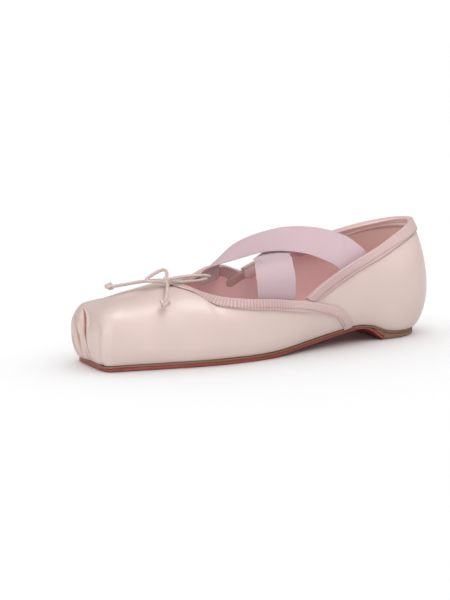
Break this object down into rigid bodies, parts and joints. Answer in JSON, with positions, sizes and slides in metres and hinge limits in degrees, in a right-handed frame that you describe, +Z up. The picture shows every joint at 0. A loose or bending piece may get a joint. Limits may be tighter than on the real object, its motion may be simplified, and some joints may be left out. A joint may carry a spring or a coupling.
{
  "type": "ballet flat",
  "caption": "Square-toed satin ballet flat for the left foot, with bound edges, crossed elastic straps, a drawstring bow and a very low heel.",
  "frame": {"origin": "middle of the shoe's outline in plan, on the floor that its forefoot and heel stand on", "axes": "+Y from the toe to the heel, +X to the outer (lateral) side of the left foot, +Z up"},
  "size_m": [0.0832, 0.2454, 0.0746],
  "materials": {
    "satin": "pale pink satin",
    "tape": "ribbed binding tape",
    "elastic": "lilac pink woven elastic",
    "lining": "matt dusty pink leather",
    "sole_leather": "smooth russet leather",
    "edge_leather": "dyed brown leather edge",
    "cord": "thin braided cord"
  },
  "bodies": {
    "root": {"outsole": "sole_leather", "midsole": "edge_leather", "heel_lift": "edge_leather", "insole": "lining", "upper": "satin", "vamp_tape": "tape", "quarter_tape": "tape", "strap_over": "elastic", "strap_under": "elastic", "bow_knot": "cord", "bow_loop_rear": "cord", "bow_loop_front": "cord", "bow_end_inner": "cord", "bow_end_outer": "cord", "bow_end_knot_inner": "cord", "bow_end_knot_outer": "cord"}
  },
  "joints": []
}
